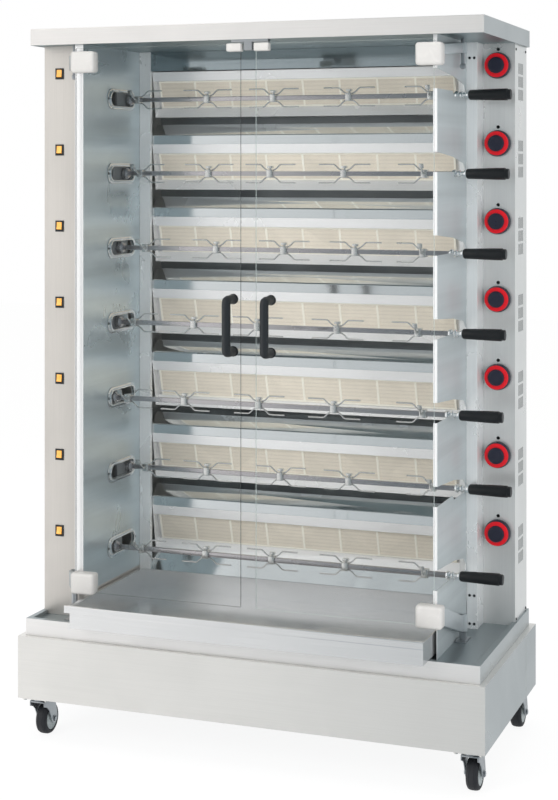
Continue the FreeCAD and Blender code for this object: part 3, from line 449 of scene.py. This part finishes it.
def make_materials():
    """Every finish by the short name that nodes and pieces use."""
    return {
        "cabinet": shaded_steel("cabinet_steel", CABINET_STEEL, 0.75, 1),
        "plinth": shaded_steel("plinth_steel", PLINTH_STEEL, 0.7, 2, top=PLINTH_TOP_PAINTED_SHADE),
        "column": steel("column_steel", COLUMN_STEEL, 0.33, GRAIN_UPRIGHT, metallic=0.65, wave=0.2, seed=4),
        "right_column": right_column_steel("right_column_steel"),
        "canopy": shaded_steel("canopy_steel", CANOPY_STEEL, 0.7, 6),
        "cavity": wall_steel("cavity_steel", CAVITY_STEEL, 0.28, 0.7, 8),
        "right_wall": wall_steel("right_wall_steel", RIGHT_WALL_STEEL, 0.42, 0.4, 11),
        "polished": reflector_steel("polished_steel"),
        "housing": steel("housing_steel", HOUSING_STEEL, 0.22, GRAIN_ACROSS, metallic=0.3, wave=0.2,
                         seed=10),
        "tray": steel("tray_steel", TRAY_STEEL, 0.20, GRAIN_ACROSS, metallic=0.85, seed=12),
        "post": steel("post_steel", POST_STEEL, 0.24, GRAIN_UPRIGHT, metallic=0.35, wave=0.2, seed=14),
        "back": steel("back_steel", GALVANISED, 0.45, GRAIN_UPRIGHT, metallic=0.7, seed=16),
        "chrome": steel("chrome", CHROME, 0.08, GRAIN_ACROSS, metallic=1.0, wave=0.1, streak=0.02),
        "bar": steel("bar_steel", BAR_STEEL, 0.24, GRAIN_ACROSS, metallic=0.95, wave=0.1, seed=18),
        "fork": steel("fork_steel", FORK_STEEL, 0.22, GRAIN_WIRE, metallic=0.95, wave=0.0, seed=19),
        "zinc": steel("zinc_plate", ZINC, 0.30, GRAIN_CAST, metallic=0.9, wave=0.1, seed=20),
        "bolt": steel("dark_bolt", BOLT_DARK, 0.40, GRAIN_CAST, metallic=0.8, wave=0.0, seed=21),
        "brass": steel("valve_brass", BRASS, 0.30, GRAIN_CAST, metallic=0.95, seed=22),
        "motor": steel("motor_casting", MOTOR_GREY_AND_RECESS_SHADE, 0.50, GRAIN_SAND, metallic=0.6, seed=24),
        "tile": ceramic_tile("burner_tile"),
        "joint": plastic("tile_joint", TILE_JOINT, 0.85, grain=400.0),
        "knob": plastic("knob_black", KNOB_BLACK, 0.32),
        "red": plastic("knob_red", KNOB_RED, 0.5),
        "grip": plastic("grip_black", GRIP_BLACK, 0.42),
        "handle": plastic("handle_black", HANDLE_BLACK, 0.45),
        "arm": steel("arm_casting", ARM_STEEL, 0.38, GRAIN_CAST, metallic=0.4, wave=0.1, seed=26),
        "clamp": plastic("clamp_white", CLAMP_WHITE, 0.38),
        "lens": lit_lens("amber_lens"),
        "tyre": plastic("tyre_rubber", TYRE_GREY, 0.60),
        "hub": plastic("hub_grey", HUB_GREY, 0.45),
        "glass_left": door_glass("left_glass", GLASS_EDGE_PAINTED_SHADE),
        "glass_right": door_glass("right_glass", GLASS_EDGE_PAINTED_LIGHT),
    }


MATERIALS = make_materials()

# Finish of each node, or of each family of numbered nodes
NODE_FINISH = {
    "base_cabinet": "cabinet",
    "plinth_tray": "plinth",
    "left_column": "column",
    "left_wall": "cavity",
    "right_wall": "right_wall",
    "right_column": "right_column",
    "corner_posts": "post",
    "back_panel": "back",
    "canopy": "canopy",
    "reflectors": "polished",
    "burner_housings": "housing",
    "burner_tiles": "tile",
    "socket_bezels": "chrome",
    "switch_housings": "handle",
    "gas_manifold": "brass",
    "door_hardware": "zinc",
    "fasteners": "bolt",
    "drip_tray": "tray",
    "door_glass_left": "glass_left",
    "door_glass_right": "glass_right",
    "door_hinges_left": "clamp",
    "door_hinges_right": "clamp",
    "door_handle_left": "handle",
    "door_handle_right": "handle",
    "drive_carriage": "motor",
    "spit": "bar",
    "knob": "knob",
    "rocker": "lens",
    "castor_fork": "zinc",
    "castor_wheel": "tyre",
}

# Rounding of the folds and rims that should catch light, in millimetres
FOLD_WIDTH = {
    "base_cabinet": 0.7,
    "plinth_tray": 0.7,
    "left_column": 0.7,
    "canopy": 0.7,
    "corner_posts": 0.7,
    "drip_tray": 0.7,
    "burner_housings": 0.7,
    "reflectors": 0.7,
    "socket_bezels": 1.6,
}


def dress_nodes():
    """Every CAD node gets its finish, and those in FOLD_WIDTH a fine bevel that catches light."""
    for name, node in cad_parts.items():
        family = name if name in NODE_FINISH else name.rstrip("0123456789").rstrip("_")
        node.data.materials.clear()
        node.data.materials.append(MATERIALS[NODE_FINISH[family]])
        if name in FOLD_WIDTH:
            weld = node.modifiers.new("weld", "WELD")
            weld.merge_threshold = 0.00001
            bevel = node.modifiers.new("fold", "BEVEL")
            bevel.width = FOLD_WIDTH[name] * MM
            bevel.segments = 2
            bevel.angle_limit = math.radians(40)
            bevel.harden_normals = True


def join_rings(bm, first, second):
    """Skin between two rings of points, where either may be a single point."""
    count = max(len(first), len(second))
    for step in range(count):
        ahead = (step + 1) % count
        corners = [first[step % len(first)], first[ahead % len(first)],
                   second[ahead % len(second)], second[step % len(second)]]
        unique = list(dict.fromkeys(corners))
        if len(unique) > 2:
            bm.faces.new(unique)


def lathe(bm, profile, centre, axis, steps=40, closed=False):
    """Turned skin: a profile of (place along the axis, radius), centred on the other two coordinates."""
    along = "XYZ".index(axis)
    across, up = [i for i in range(3) if i != along]
    rings = []
    for place, radius in profile:
        ring = []
        for step in range(steps if radius > 0 else 1):
            angle = 2 * math.pi * step / steps
            point = [0.0, 0.0, 0.0]
            point[along] = place
            point[across] = centre[0] + radius * math.cos(angle)
            point[up] = centre[1] + radius * math.sin(angle)
            ring.append(bm.verts.new(point))
        rings.append(ring)
    for first, second in zip(rings, rings[1:]):
        join_rings(bm, first, second)
    if closed:
        join_rings(bm, rings[-1], rings[0])


def ease_edges(bm, verts, radius, segments):
    """Round every edge that meets the given points, each once and in the same order on every run."""
    edges = list(dict.fromkeys(edge for vert in verts for edge in vert.link_edges))
    bmesh.ops.bevel(bm, geom=edges, offset=radius, segments=segments, profile=0.5, affect="EDGES",
                    clamp_overlap=True)


def rounded_box(bm, low, high, radius, segments=3, turn=None, about=(0, 0, 0)):
    """Block with rounded edges, turned about a point where it leans."""
    made = bmesh.ops.create_cube(bm, size=1.0)["verts"]
    low, high, about = Vector(low), Vector(high), Vector(about)
    for vert in made:
        corner = Vector([(low, high)[vert.co[i] > 0][i] for i in range(3)])
        vert.co = turn @ (corner - about) + about if turn else corner
    ease_edges(bm, made, radius, segments)


def rounded_plate(bm, outline, axis, low, high, radius, segments=2):
    """Plate of a given outline, thick along one axis, with eased edges."""
    along = "XYZ".index(axis)
    layers = []
    for place in (low, high):
        layer = []
        for a, b in outline:
            point = [a, b]
            point.insert(along, place)
            layer.append(bm.verts.new(point))
        layers.append(layer)
    bm.faces.new(layers[0])
    bm.faces.new(layers[1])
    join_rings(bm, layers[0], layers[1])
    bmesh.ops.recalc_face_normals(bm, faces=bm.faces)
    ease_edges(bm, layers[0] + layers[1], radius, segments)


def bent_rod(bm, points, radius):
    """Round rod along a smooth line through the room that its corner points enclose."""
    curve = bpy.data.curves.new("rod", "CURVE")
    curve.dimensions = "3D"
    curve.bevel_depth = radius
    curve.bevel_resolution = 3
    curve.use_fill_caps = True
    curve.resolution_u = 6
    spline = curve.splines.new("NURBS")
    spline.points.add(len(points) - 1)
    for knot, point in zip(spline.points, points):
        knot.co = (*point, 1.0)
    spline.order_u = 3
    spline.use_endpoint_u = True
    rod = bpy.data.objects.new("rod", curve)
    bpy.context.scene.collection.objects.link(rod)
    depsgraph = bpy.context.evaluated_depsgraph_get()
    mesh = bpy.data.meshes.new_from_object(rod.evaluated_get(depsgraph))
    bm.from_mesh(mesh)
    bpy.data.objects.remove(rod)
    bpy.data.curves.remove(curve)
    bpy.data.meshes.remove(mesh)


def piece(name, bm, finish, body, node=None):
    """Turn a bmesh in millimetres into a piece that rides on a body and may stand for a CAD node."""
    bmesh.ops.scale(bm, vec=(MM, MM, MM), verts=bm.verts)
    bmesh.ops.recalc_face_normals(bm, faces=bm.faces)
    mesh = bpy.data.meshes.new(name)
    bm.to_mesh(mesh)
    bm.free()
    mesh.materials.append(MATERIALS[finish])
    for polygon in mesh.polygons:
        polygon.use_smooth = True
    mesh.set_sharp_from_angle(angle=math.radians(38))
    made = bpy.data.objects.new(name, mesh)
    bpy.context.scene.collection.objects.link(made)
    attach(made, body)
    if node:
        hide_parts(node)


def row_z(row):
    """Height of a spit's axis, counted from the top row."""
    return TOP_SPIT_Z - ROW_PITCH * row


def knob(row):
    """Dark skirt and grip with a broad red disc between them, and under the disc a thin chrome ring that
    gives the bright edge as a painted highlight.
    """
    number, z = row + 1, row_z(row) + KNOB_ABOVE_SPIT
    at = (KNOB_X, z)
    body, slot, node = "knob_%d" % number, "knob_plastic", "knob_%d" % number
    dark = bmesh.new()
    skirt = [(128.5, 0), (128.5, 32.5), (127, 33.6), (120, 34), (114, 31.8), (112.5, 31), (112.5, 0)]
    crown = [(108, 0), (108, 21.5), (101, 20.6), (98.5, 18.8), (97.6, 16), (98.4, 8), (98.6, 0)]
    lathe(dark, skirt, at, "Y", KNOB_SIDES)
    lathe(dark, crown, at, "Y", KNOB_SIDES)
    piece("knob_%d_dark" % number, dark, "knob", body, node)
    # Painted highlight: a thin chrome ring under the red disc stands in for the highlight at its edge
    highlight_ring = bmesh.new()
    lathe(highlight_ring, [(112.6, 0), (112.6, 30.2), (111.2, 30.2), (111.2, 0)], at, "Y", KNOB_SIDES)
    piece("knob_%d_line" % number, highlight_ring, "chrome", body, node)
    red = bmesh.new()
    disc = [(111.4, 21), (111.4, 30), (110.4, 30.9), (107.4, 30.9), (106.2, 30.1), (105.8, 28), (105.8, 21)]
    lathe(red, disc, at, "Y", KNOB_SIDES, closed=True)
    piece("knob_%d_red" % number, red, "red", body, node)


def fork(bm, at, sides):
    """Clamp block and the bent tines that leave it on the given sides."""
    x, y, z = at
    rounded_box(bm, (x - 8.5, y - 10.5, z - 10.5), (x + 8.5, y + 10.5, z + 10.5), 1.6)
    for side in sides:
        for up in (-1, 1):
            bent_rod(bm, [(x + side * along, y, z + up * rise) for along, rise in TINE_ROUTE], TINE_RADIUS)


def wing_screw(bm, at, lean):
    """Cranked lever with a flat paddle that locks an end fork."""
    x, y, z = at
    route = [(0, -10, 0), (0, -18, 0), (0, -22, 1), (lean * 0.5, -27, 8), (lean, -32, 16)]
    bent_rod(bm, [(x + dx, y + dy, z + dz) for dx, dy, dz in route], 2.3)
    lathe(bm, [(y - 17, 0), (y - 17, 4.6), (y - 12, 5.2), (y - 10, 5.2)], (x, z), "Y", 16)
    tip = Matrix.Rotation(math.radians(25), 3, "X")
    rounded_box(bm, (x + lean - 6.4, y - 34.8, z + 14.2), (x + lean + 6.4, y - 31.7, z + 26.8), 1.4,
                turn=tip, about=(x + lean, y - 32, z + 16))


def square_screw(bm, at):
    """Short screw with a square head that locks a middle fork from above."""
    x, y, z = at
    lathe(bm, [(z + 10, 3), (z + 15, 3)], (x, y), "Z", 16)
    rounded_box(bm, (x - 7.4, y - 5.8, z + 14), (x + 7.4, y + 5.8, z + 20), 1.0)


def spit(row):
    """Square bar, drive hub, five forks with their screws, beaded ferrule and black grip."""
    number, y, z = row + 1, SPIT_BACK_Y - SPIT_FORWARD[row], row_z(row)
    body, slot, node = "spit_%d" % number, "spit_steel", "spit_%d" % number
    bar = bmesh.new()
    left, right = BAR_ENDS
    rounded_box(bar, (left, y - BAR_HALF, z - BAR_HALF), (right, y + BAR_HALF, z + BAR_HALF), 0.9, 2)
    drive_hub = [(-503, 0), (-503, 7.5), (-502, 8), (-463, 8), (-463, 15), (-452, 15), (-449.5, 14.2),
                 (-445.5, 11), (-445.5, 0)]
    lathe(bar, drive_hub, (y, z), "X", 32)
    piece("spit_%d_bar" % number, bar, "bar", body, node)
    forks = bmesh.new()
    for station, x in enumerate(FORK_STATIONS[row]):
        at = (x, y, z)
        sides = {0: (1,), 4: (-1,)}.get(station, (-1, 1))
        fork(forks, at, sides)
        if len(sides) == 1:
            wing_screw(forks, at, WING_LEAN[station])
        else:
            square_screw(forks, at)
    piece("spit_%d_forks" % number, forks, "fork", body, node)
    ferrule = bmesh.new()
    beads = [(457.8, 0), (457.8, 9), (459, 10), (463, 11), (467, 10), (469, 7.4), (470.5, 7), (473, 9.6),
             (475.5, 10.4), (478, 9.4), (479.4, 6.9), (487.4, 6.9), (489, 9.8), (491.5, 10.8), (494, 10.6),
             (495.5, 9), (495.5, 0)]
    lathe(ferrule, beads, (y, z), "X", 32)
    piece("spit_%d_ferrule" % number, ferrule, "chrome", body, node)
    grip = bmesh.new()
    handle = [(495, 0), (495, 10.6), (496, 12), (499, 12.8), (530, 13.8), (570, 14.8), (592, 15),
              (593.6, 14.6), (594.2, 13.4), (595, 13.2), (601, 13.2), (602.6, 12.2), (603, 10), (603, 0)]
    lathe(grip, handle, (y, z), "X", 40)
    piece("spit_%d_grip" % number, grip, "grip", body, node)


def door_handle(side, x):
    """Bow handle bent from one black tube, with a washer and a nut where each end meets the glass."""
    bow = bmesh.new()
    low, high, glass = HANDLE_BOTTOM, HANDLE_TOP, GLASS_FRONT
    route = [(glass + 0.5, low), (glass - 22, low), (HANDLE_Y + 6, low), (HANDLE_Y, low + 6),
             (HANDLE_Y, low + 26), (HANDLE_Y, (low + high) / 2), (HANDLE_Y, high - 26),
             (HANDLE_Y, high - 6), (HANDLE_Y + 6, high), (glass - 22, high), (glass + 0.5, high)]
    bent_rod(bow, [(x, y, z) for y, z in route], HANDLE_RADIUS)
    for z in (low, high):
        lathe(bow, [(glass - 3, 0), (glass - 3, 12.4), (glass - 2, 13), (glass, 13)], (x, z), "Y", 40)
        nut = [(glass + 6, 9), (glass + 10.4, 9), (glass + 11, 8), (glass + 11, 0)]
        lathe(bow, nut, (x, z), "Y", HEXAGON)
    piece("handle_%s" % side, bow, "handle", "%s_door" % side, "door_handle_%s" % side)


def corner_clamp(bm, x, z):
    """Soft-edged block that grips a corner of a leaf."""
    front, back = CLAMP_Y
    rounded_box(bm, (x, front, z), (x + CLAMP_WIDTH, back, z + CLAMP_HEIGHT), 8, 4)


def top_catch(bm, left, right):
    """Small block on top of a leaf, at its free edge."""
    rounded_box(bm, (left, CATCH_Y[0], CATCH_Z[0]), (right, CATCH_Y[1], CATCH_Z[1]), 3)


def hinge_barrel(bm, pivot, low, high, radius):
    """Upright barrel round a pin, with its edges turned off by a millimetre."""
    profile = [(low, 0), (low, radius - 1), (low + 1, radius), (high - 1, radius), (high, radius - 1),
               (high, 0)]
    lathe(bm, profile, pivot, "Z", 32)


def left_clamps():
    """Soft-edged corner clamps of the left leaf, each with its short arm to the pin, and its top catch."""
    px, py = LEFT_PIVOT
    x0 = LEFT_LEAF[0] - 6
    blocks, arms = bmesh.new(), bmesh.new()
    for z0 in (BOTTOM_CLAMP_Z, TOP_CLAMP_Z):
        corner_clamp(blocks, x0, z0)
        outline = [(x0 + 8, -257), (x0 + 1, -256), (px - 10, py - 12), (px - 10, py), (px + 10, py),
                   (px + 10, py - 22), (x0 - 5, -228), (x0 + 8, -228)]
        rounded_plate(arms, outline, "Z", z0 + 8, z0 + 47, 2.0)
        hinge_barrel(arms, LEFT_PIVOT, z0 + 8, z0 + 47, 10)
    catch_end = LEFT_LEAF[1] + 3
    top_catch(blocks, catch_end - 39, catch_end)
    piece("clamps_left", blocks, "clamp", "left_door", "door_hinges_left")
    piece("clamp_arms_left", arms, "arm", "left_door", "door_hinges_left")


def right_clamps():
    """Soft-edged corner clamps of the right leaf, their long arms back past the grips, and its catch."""
    px, py = RIGHT_PIVOT
    x0 = RIGHT_LEAF[1] + 24 - CLAMP_WIDTH
    blocks, arms = bmesh.new(), bmesh.new()
    for z0, (front_low, front_high, low, high) in RIGHT_ARMS.items():
        corner_clamp(blocks, x0, z0)
        outline = [(-236, front_low), (-236, front_high), (py - 14, high), (py, high), (py, low),
                   (py - 14, low)]
        rounded_plate(arms, outline, "X", px - 10.8, px + 3.8, 3.0)
        hinge_barrel(arms, RIGHT_PIVOT, low, high, 11)
    top_catch(blocks, RIGHT_LEAF[0] - 3, RIGHT_LEAF[0] + 36)
    piece("clamps_right", blocks, "clamp", "right_door", "door_hinges_right")
    piece("clamp_arms_right", arms, "arm", "right_door", "door_hinges_right")


def tile_joints():
    """Pale cement strips between the burner tiles and along the top and bottom of each row."""
    strips = bmesh.new()
    half, edge_half = JOINT_WIDTH / 2, EDGE_JOINT_WIDTH / 2
    for row in range(ROWS):
        z = row_z(row)
        top = Vector((0, TILE_TOP_Y, z + TILE_TOP_ABOVE_SPIT))
        bottom = Vector((0, TILE_FOOT_Y, z - TILE_FOOT_BELOW_SPIT))
        lean = Matrix.Rotation(-math.atan2(top.y - bottom.y, top.z - bottom.z), 3, "X")
        length = (top - bottom).length
        middle = (top + bottom) / 2
        for joint in range(TILES + 1):
            x = TILE_ROW_LEFT + joint * TILE_PITCH
            rounded_box(strips, (x - half, middle.y - 0.9, middle.z - length / 2),
                        (x + half, middle.y + 1.0, middle.z + length / 2), 0.4, 1, lean,
                        (x, middle.y, middle.z))
        for end in (-1, 1):
            place = middle.z + end * (length / 2 - edge_half)
            rounded_box(strips, (TILE_ROW_LEFT, middle.y - 0.7, place - edge_half),
                        (TILE_ROW_LEFT + TILES * TILE_PITCH, middle.y + 1.0, place + edge_half), 0.4, 1,
                        lean, (0, middle.y, middle.z))
    piece("tile_joints", strips, "joint", "cabinet")


def castor_wheel(number, x, y):
    """Ribbed dark tyre on a pale hub with a raised boss."""
    axle = (y + CASTOR_TRAIL, WHEEL_RADIUS)
    body, node = "castor_wheel_%d" % number, "castor_wheel_%d" % number
    tyre = bmesh.new()
    half = [(14.6, 28), (15, 30), (14.8, 34), (12.6, 37.6), (9, 39.3), (6.4, 39.8), (5.6, 39.2),
            (4.8, 39.9), (0.8, 40)]
    section = [(x + dx, r) for dx, r in half] + [(x - dx, r) for dx, r in reversed(half)]
    lathe(tyre, section, axle, "X", 56, closed=True)
    piece("castor_%d_tyre" % number, tyre, "tyre", body, node)
    hub = bmesh.new()
    face = [(9, 0), (15.4, 0), (15.4, 8), (14, 9), (12.4, 11), (12.0, 24), (13.4, 26.5), (14.2, 28.4),
            (9, 28.6)]
    for side in (-1, 1):
        lathe(hub, [(x + side * dx, r) for dx, r in face], axle, "X", 48)
    piece("castor_%d_hub" % number, hub, "hub", body, node)


def castor_fork(number, x, y):
    """Pressed fork with curved legs, a domed swivel head and bright axle nuts."""
    head = CASTOR_HEAD_Z
    axle = (y + CASTOR_TRAIL, WHEEL_RADIUS)
    body, node = "castor_%d" % number, "castor_fork_%d" % number
    fork_mesh = bmesh.new()
    dome = [(head, 0), (head, 25), (head - 1.5, 27.6), (head - 5, 28), (head - 8, 25), (head - 9, 20),
            (head - 9, 0)]
    lathe(fork_mesh, dome, (x, y), "Z", 40)
    rounded_box(fork_mesh, (x - 22, y - 24, head - 12.5), (x + 22, y + 26, head - 8.2), 1.6)
    leg = [(-24, head - 9), (26, head - 9), (34, 88), (42, 66), (47, 46), (46, 36), (40, 31), (30, 29),
           (21, 31), (15, 40), (10, 54), (2, 68), (-10, 79), (-24, 84)]
    outline = [(y + dy, z) for dy, z in leg]
    washer = [(21, 0), (21, 9), (22.6, 9.2), (23, 7.4)]
    nut = [(22.6, 6.8), (25.2, 6.8), (26, 5.8), (26, 0)]
    for side in (-1, 1):
        inner, outer = sorted((x + side * 18.8, x + side * 22))
        rounded_plate(fork_mesh, outline, "X", inner, outer, 1.0)
        lathe(fork_mesh, [(x + side * dx, r) for dx, r in washer], axle, "X", 28)
        lathe(fork_mesh, [(x + side * dx, r) for dx, r in nut], axle, "X", HEXAGON)
    lathe(fork_mesh, [(x - 22, 5), (x + 22, 5)], axle, "X", 20)
    piece("castor_%d_fork" % number, fork_mesh, "zinc", body, node)


def new_pieces():
    """Everything that is built here in place of plain solids."""
    for row in range(ROWS):
        knob(row)
        spit(row)
    for side, x in (("left", HANDLE_X[0]), ("right", HANDLE_X[1])):
        door_handle(side, x)
    left_clamps()
    right_clamps()
    tile_joints()
    places = [(x, y) for y in (-CASTOR_Y, CASTOR_Y) for x in (-CASTOR_X, CASTOR_X)]
    for number, (x, y) in enumerate(places, 1):
        castor_wheel(number, x, y)
        castor_fork(number, x, y)


def floor_material():
    """White studio floor: it keeps the object's shadow and shows white to the camera and in metal."""
    material = bpy.data.materials.new("studio_floor")
    material.use_nodes = True
    tree = material.node_tree
    tree.nodes.clear()
    output = tree.nodes.new("ShaderNodeOutputMaterial")
    diffuse = tree.nodes.new("ShaderNodeBsdfDiffuse")
    diffuse.inputs["Color"].default_value = (1, 1, 1, 1)
    white = tree.nodes.new("ShaderNodeEmission")
    white.inputs["Color"].default_value = (1, 1, 1, 1)
    white.inputs["Strength"].default_value = FLOOR_WHITE
    mix = tree.nodes.new("ShaderNodeMixShader")
    wire(tree, calculate(tree, "MULTIPLY", seen_directly(tree), FLOOR_SHARE), mix.inputs[0])
    wire(tree, diffuse.outputs["BSDF"], mix.inputs[1])
    wire(tree, white.outputs["Emission"], mix.inputs[2])
    wire(tree, mix.outputs["Shader"], output.inputs["Surface"])
    return material


def seen_directly(tree):
    """1 for camera, glossy and transmission rays, 0 for the light that falls on the object."""
    path = tree.nodes.new("ShaderNodeLightPath")
    mirrored = calculate(tree, "MAXIMUM", path.outputs["Is Camera Ray"], path.outputs["Is Glossy Ray"])
    return calculate(tree, "MAXIMUM", mirrored, path.outputs["Is Transmission Ray"])


def studio_world():
    """White to the camera, weaker as light, and for the steel a studio that is brighter on the left."""
    world = bpy.data.worlds.new("studio")
    bpy.context.scene.world = world
    world.use_nodes = True
    tree = world.node_tree
    background = tree.nodes["Background"]
    behind = remap(tree, component(tree, "Generated", "Y"), 0.0, 1.0, -0.2, 0.3)
    dim_side = blend_colours(tree, behind, linear(ROOM_DIM), linear(ROOM_BEHIND))
    rightward = remap(tree, component(tree, "Generated", "X"), 0.0, 1.0, -0.5, -0.1)
    room = blend_colours(tree, rightward, linear(ROOM_WHITE), dim_side)
    path = tree.nodes.new("ShaderNodeLightPath")
    sheen = blend_colours(tree, path.outputs["Is Glossy Ray"], linear(ROOM_WHITE), room)
    wire(tree, sheen, background.inputs["Color"])
    strength = remap(tree, seen_directly(tree), WORLD_LIGHT, 1.0, 0.0, 1.0)
    wire(tree, strength, background.inputs["Strength"])


def studio_floor():
    """Wide floor at the wheels' feet, which is stage and no piece of the machine."""
    size = FLOOR_HALF
    corners = [(-size, -size, 0), (size, -size, 0), (size, size, 0), (-size, size, 0)]
    mesh = bpy.data.meshes.new("studio_floor")
    mesh.from_pydata(corners, [], [(0, 1, 2, 3)])
    mesh.materials.append(floor_material())
    floor = bpy.data.objects.new("studio_floor", mesh)
    bpy.context.scene.collection.objects.link(floor)
    floor.visible_glossy = False


def area_lamp(name, place, target, size, power, colour=(1, 1, 1)):
    """Square lamp that looks at a target and doesn't show in the steel."""
    light = bpy.data.lights.new(name, "AREA")
    light.shape = "SQUARE"
    light.size = size
    light.energy = power
    light.color = colour
    lamp = bpy.data.objects.new(name, light)
    lamp.location = place
    lamp.rotation_euler = (Vector(target) - Vector(place)).to_track_quat("-Z", "Y").to_euler()
    lamp.visible_glossy = False
    bpy.context.scene.collection.objects.link(lamp)


def studio_lamps():
    """Warm key from the left, cool fill from the right, and a soft lamp overhead."""
    area_lamp("key", (-2.2, -4.2, 2.6), (0, 0, 0.9), 2.4, 75.0, (1.0, 0.985, 0.96))
    area_lamp("fill", (3.2, -3.2, 1.4), (0, 0, 0.9), 2.0, 60.0, (0.94, 0.97, 1.0))
    area_lamp("top", (0.2, -0.8, 4.4), (0, 0, 1.0), 2.4, 30.0)


def photograph_camera():
    """Level camera whose lens is shifted, so that uprights stay parallel."""
    data = bpy.data.cameras.new("camera")
    data.lens = CAMERA_LENS
    data.shift_y = CAMERA_SHIFT
    camera = bpy.data.objects.new("camera", data)
    camera.location = CAMERA_PLACE
    camera.rotation_euler = (math.pi / 2, 0, CAMERA_TURN)
    bpy.context.scene.collection.objects.link(camera)
    bpy.context.scene.camera = camera


def main():
    dress_nodes()
    new_pieces()
    studio_world()
    studio_floor()
    studio_lamps()
    photograph_camera()
    bpy.context.scene.view_settings.view_transform = "Standard"


main()
